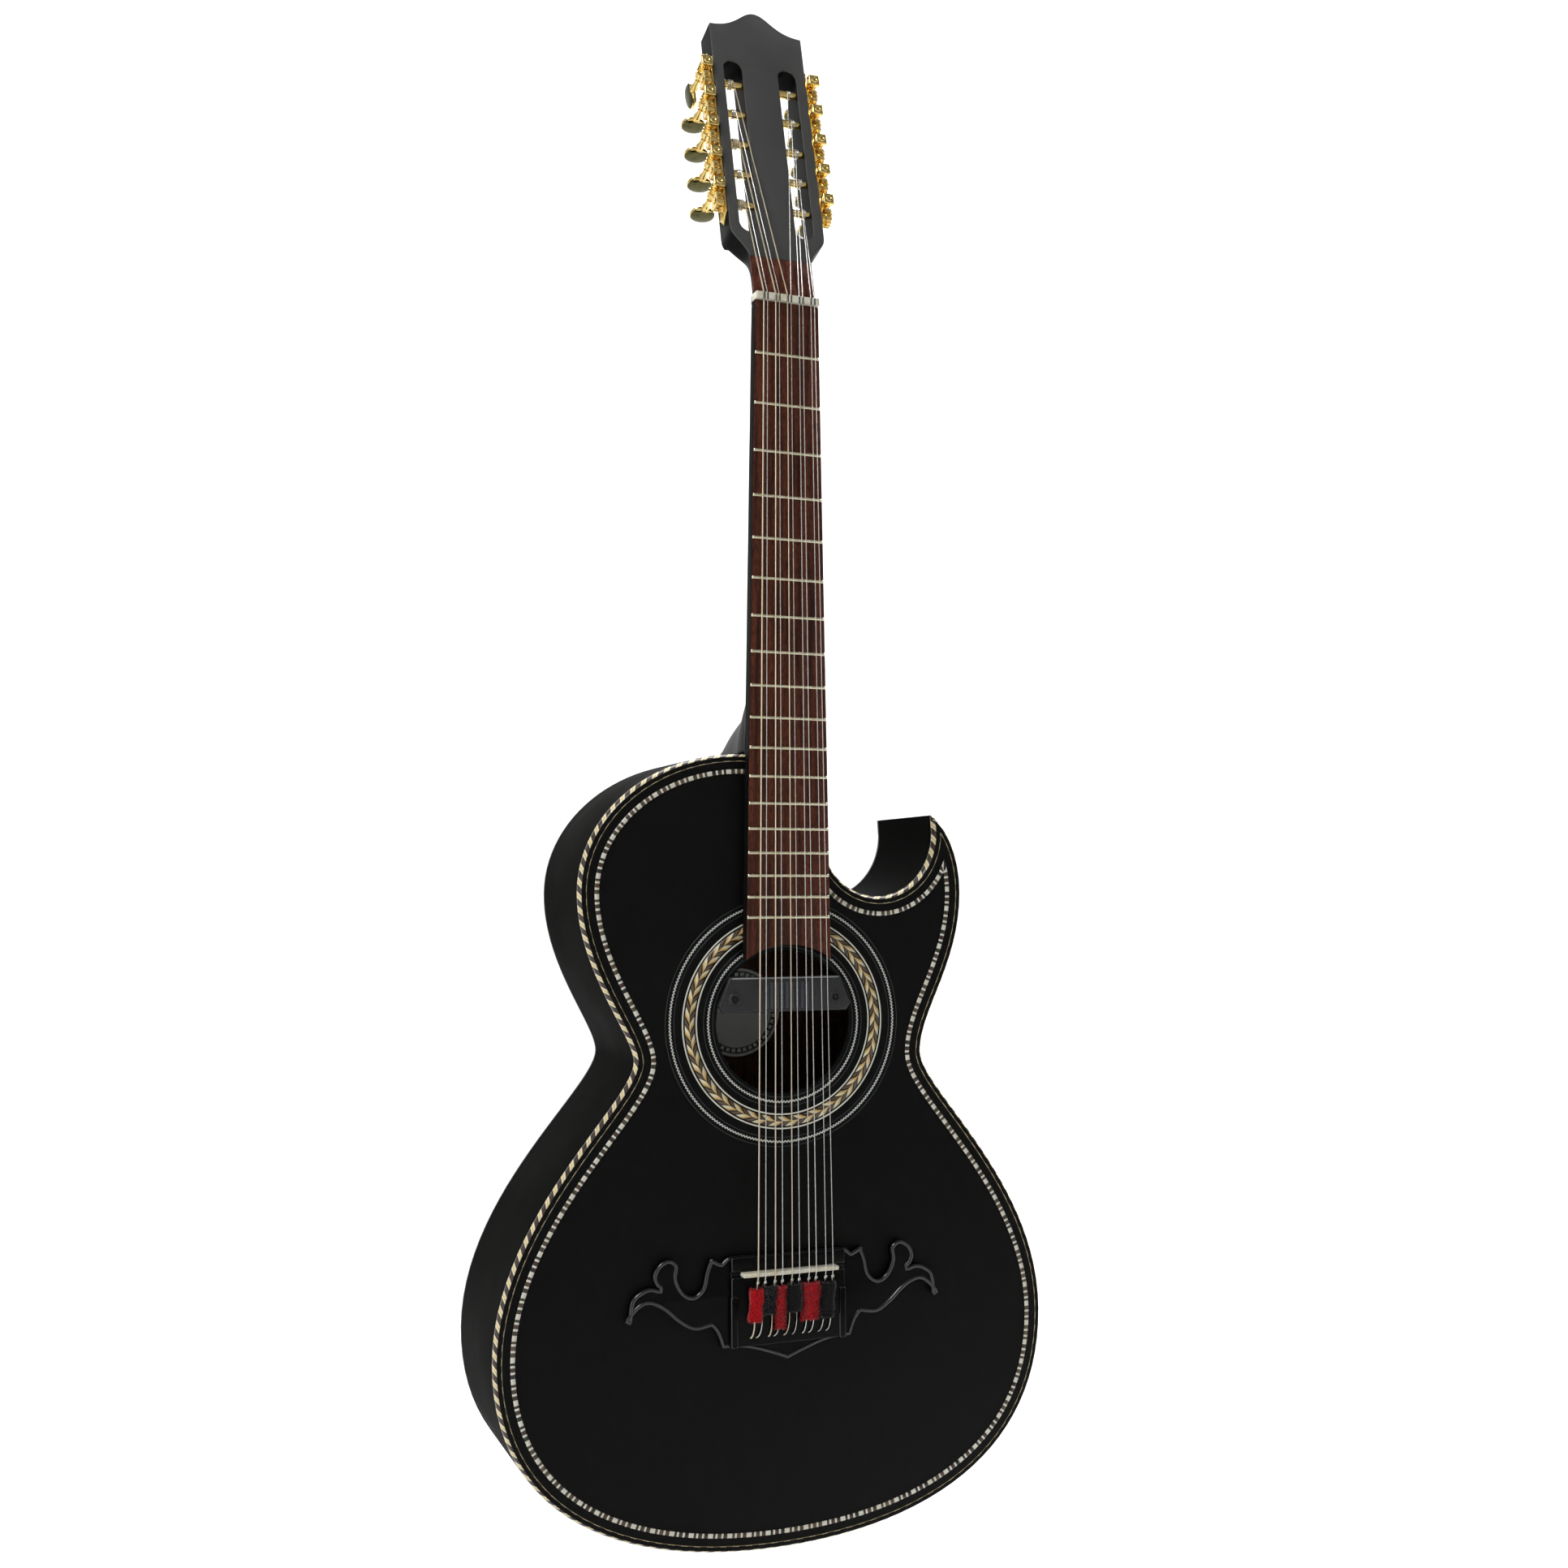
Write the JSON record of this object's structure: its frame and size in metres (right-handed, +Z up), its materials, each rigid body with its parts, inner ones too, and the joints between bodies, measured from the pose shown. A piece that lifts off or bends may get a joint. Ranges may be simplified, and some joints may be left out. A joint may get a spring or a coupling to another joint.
{
  "type": "ten-string bajo quinto",
  "caption": "Long-necked flat-top folk instrument with paired strings, a horned cutaway body, round soundhole with pickup, scrolled bridge and slotted head with worm tuners.",
  "frame": {"origin": "middle of the nut's string-side edge, in the plane of the fingerboard's face, where a wall hanger takes the neck behind the head", "axes": "+Z up along the neck towards the head; -Y is the way the soundboard faces, +Y towards the back; +X towards the cutaway, the player's treble side"},
  "size_m": [0.3966, 0.1336, 1.0869],
  "materials": {
    "soundboard_lacquer": "soundboard under thin black gloss lacquer",
    "body_lacquer": "polished black gloss lacquer",
    "inner_spruce": "bare spruce, sanded",
    "fingerboard_rosewood": "oiled dark reddish rosewood, satin",
    "head_root_wood": "dark reddish wood, satin",
    "head_facing": "dark facing, satin gloss",
    "nut_bone": "pale cream, lightly polished",
    "saddle_bone": "pale cream, lightly polished",
    "bridge_black": "black gloss lacquer on wood",
    "mute_velvet": "soft red pile",
    "pickup_plastic": "black moulded plastic, satin",
    "end_pin_metal": "polished chrome",
    "tuner_gold": "polished gold plating",
    "button_gold": "polished gold plating",
    "string_bronze": "wound bronze, bright",
    "string_steel": "plain drawn steel, bright"
  },
  "bodies": {
    "instrument": {"soundboard": "soundboard_lacquer", "back_plate": "body_lacquer", "bass_side": "body_lacquer", "cutaway_side": "body_lacquer", "treble_side": "body_lacquer", "neck_block": "inner_spruce", "tail_block": "inner_spruce", "top_lining": "inner_spruce", "back_lining": "inner_spruce", "upper_transverse_brace": "inner_spruce", "lower_transverse_brace": "inner_spruce", "fan_brace_1": "inner_spruce", "fan_brace_2": "inner_spruce", "fan_brace_3": "inner_spruce", "back_brace_1": "inner_spruce", "back_brace_2": "inner_spruce", "neck": "body_lacquer", "heel_cap": "body_lacquer", "fingerboard": "fingerboard_rosewood", "nut": "nut_bone", "bridge": "bridge_black", "saddle": "saddle_bone", "mute_ribbon": "mute_velvet", "pickup": "pickup_plastic", "end_pin_jack": "end_pin_metal", "headstock": "body_lacquer", "head_plate": "head_facing", "head_root_veneer": "head_root_wood", "tuner_plate_bass": "tuner_gold", "tuner_plate_treble": "tuner_gold", "string_01": "string_bronze", "string_02": "string_steel", "string_03": "string_bronze", "string_04": "string_steel", "string_05": "string_bronze", "string_06": "string_steel", "string_07": "string_steel", "string_08": "string_steel", "string_09": "string_steel", "string_10": "string_steel"},
    "tuner_button_bass_1": {"tuner_button_bass_1": "button_gold"},
    "tuner_roller_bass_1": {"tuner_roller_bass_1": "tuner_gold"},
    "tuner_button_bass_2": {"tuner_button_bass_2": "button_gold"},
    "tuner_roller_bass_2": {"tuner_roller_bass_2": "tuner_gold"},
    "tuner_button_bass_3": {"tuner_button_bass_3": "button_gold"},
    "tuner_roller_bass_3": {"tuner_roller_bass_3": "tuner_gold"},
    "tuner_button_bass_4": {"tuner_button_bass_4": "button_gold"},
    "tuner_roller_bass_4": {"tuner_roller_bass_4": "tuner_gold"},
    "tuner_button_bass_5": {"tuner_button_bass_5": "button_gold"},
    "tuner_roller_bass_5": {"tuner_roller_bass_5": "tuner_gold"},
    "tuner_button_treble_1": {"tuner_button_treble_1": "button_gold"},
    "tuner_roller_treble_1": {"tuner_roller_treble_1": "tuner_gold"},
    "tuner_button_treble_2": {"tuner_button_treble_2": "button_gold"},
    "tuner_roller_treble_2": {"tuner_roller_treble_2": "tuner_gold"},
    "tuner_button_treble_3": {"tuner_button_treble_3": "button_gold"},
    "tuner_roller_treble_3": {"tuner_roller_treble_3": "tuner_gold"},
    "tuner_button_treble_4": {"tuner_button_treble_4": "button_gold"},
    "tuner_roller_treble_4": {"tuner_roller_treble_4": "tuner_gold"},
    "tuner_button_treble_5": {"tuner_button_treble_5": "button_gold"},
    "tuner_roller_treble_5": {"tuner_roller_treble_5": "tuner_gold"}
  },
  "joints": [
    {"name": "button_turn_bass_1", "type": "hinge", "parent": "instrument", "child": "tuner_button_bass_1", "pos_m": [-0.041, 0.03017, 0.08523], "axis": [0, 0.9659, -0.2588], "range_deg": [-1080, 540]},
    {"name": "roller_turn_bass_1", "type": "hinge", "parent": "instrument", "child": "tuner_roller_bass_1", "pos_m": [0, 0.02733, 0.07461], "axis": [1, 0, 0], "range_deg": [-90, 45]},
    {"name": "button_turn_bass_2", "type": "hinge", "parent": "instrument", "child": "tuner_button_bass_2", "pos_m": [-0.041, 0.03664, 0.10938], "axis": [0, 0.9659, -0.2588], "range_deg": [-1080, 540]},
    {"name": "roller_turn_bass_2", "type": "hinge", "parent": "instrument", "child": "tuner_roller_bass_2", "pos_m": [0, 0.0338, 0.09875], "axis": [1, 0, 0], "range_deg": [-90, 45]},
    {"name": "button_turn_bass_3", "type": "hinge", "parent": "instrument", "child": "tuner_button_bass_3", "pos_m": [-0.041, 0.04312, 0.13353], "axis": [0, 0.9659, -0.2588], "range_deg": [-1080, 540]},
    {"name": "roller_turn_bass_3", "type": "hinge", "parent": "instrument", "child": "tuner_roller_bass_3", "pos_m": [0, 0.04027, 0.1229], "axis": [1, 0, 0], "range_deg": [-90, 45]},
    {"name": "button_turn_bass_4", "type": "hinge", "parent": "instrument", "child": "tuner_button_bass_4", "pos_m": [-0.041, 0.04958, 0.15767], "axis": [0, 0.9659, -0.2588], "range_deg": [-1080, 540]},
    {"name": "roller_turn_bass_4", "type": "hinge", "parent": "instrument", "child": "tuner_roller_bass_4", "pos_m": [0, 0.04674, 0.14705], "axis": [1, 0, 0], "range_deg": [-90, 45]},
    {"name": "button_turn_bass_5", "type": "hinge", "parent": "instrument", "child": "tuner_button_bass_5", "pos_m": [-0.041, 0.05606, 0.18182], "axis": [0, 0.9659, -0.2588], "range_deg": [-1080, 540]},
    {"name": "roller_turn_bass_5", "type": "hinge", "parent": "instrument", "child": "tuner_roller_bass_5", "pos_m": [0, 0.05321, 0.1712], "axis": [1, 0, 0], "range_deg": [-90, 45]},
    {"name": "button_turn_treble_1", "type": "hinge", "parent": "instrument", "child": "tuner_button_treble_1", "pos_m": [0.041, 0.03017, 0.08523], "axis": [0, 0.9659, -0.2588], "range_deg": [-1080, 540]},
    {"name": "roller_turn_treble_1", "type": "hinge", "parent": "instrument", "child": "tuner_roller_treble_1", "pos_m": [0, 0.02733, 0.07461], "axis": [1, 0, 0], "range_deg": [-90, 45]},
    {"name": "button_turn_treble_2", "type": "hinge", "parent": "instrument", "child": "tuner_button_treble_2", "pos_m": [0.041, 0.03664, 0.10938], "axis": [0, 0.9659, -0.2588], "range_deg": [-1080, 540]},
    {"name": "roller_turn_treble_2", "type": "hinge", "parent": "instrument", "child": "tuner_roller_treble_2", "pos_m": [0, 0.0338, 0.09875], "axis": [1, 0, 0], "range_deg": [-90, 45]},
    {"name": "button_turn_treble_3", "type": "hinge", "parent": "instrument", "child": "tuner_button_treble_3", "pos_m": [0.041, 0.04312, 0.13353], "axis": [0, 0.9659, -0.2588], "range_deg": [-1080, 540]},
    {"name": "roller_turn_treble_3", "type": "hinge", "parent": "instrument", "child": "tuner_roller_treble_3", "pos_m": [0, 0.04027, 0.1229], "axis": [1, 0, 0], "range_deg": [-90, 45]},
    {"name": "button_turn_treble_4", "type": "hinge", "parent": "instrument", "child": "tuner_button_treble_4", "pos_m": [0.041, 0.04958, 0.15767], "axis": [0, 0.9659, -0.2588], "range_deg": [-1080, 540]},
    {"name": "roller_turn_treble_4", "type": "hinge", "parent": "instrument", "child": "tuner_roller_treble_4", "pos_m": [0, 0.04674, 0.14705], "axis": [1, 0, 0], "range_deg": [-90, 45]},
    {"name": "button_turn_treble_5", "type": "hinge", "parent": "instrument", "child": "tuner_button_treble_5", "pos_m": [0.041, 0.05606, 0.18182], "axis": [0, 0.9659, -0.2588], "range_deg": [-1080, 540]},
    {"name": "roller_turn_treble_5", "type": "hinge", "parent": "instrument", "child": "tuner_roller_treble_5", "pos_m": [0, 0.05321, 0.1712], "axis": [1, 0, 0], "range_deg": [-90, 45]}
  ],
  "couplings": [
    {"joint": "roller_turn_bass_1", "follows": "button_turn_bass_1", "ratio": 0.071429},
    {"joint": "roller_turn_bass_2", "follows": "button_turn_bass_2", "ratio": 0.071429},
    {"joint": "roller_turn_bass_3", "follows": "button_turn_bass_3", "ratio": 0.071429},
    {"joint": "roller_turn_bass_4", "follows": "button_turn_bass_4", "ratio": 0.071429},
    {"joint": "roller_turn_bass_5", "follows": "button_turn_bass_5", "ratio": 0.071429},
    {"joint": "roller_turn_treble_1", "follows": "button_turn_treble_1", "ratio": 0.071429},
    {"joint": "roller_turn_treble_2", "follows": "button_turn_treble_2", "ratio": 0.071429},
    {"joint": "roller_turn_treble_3", "follows": "button_turn_treble_3", "ratio": 0.071429},
    {"joint": "roller_turn_treble_4", "follows": "button_turn_treble_4", "ratio": 0.071429},
    {"joint": "roller_turn_treble_5", "follows": "button_turn_treble_5", "ratio": 0.071429}
  ]
}
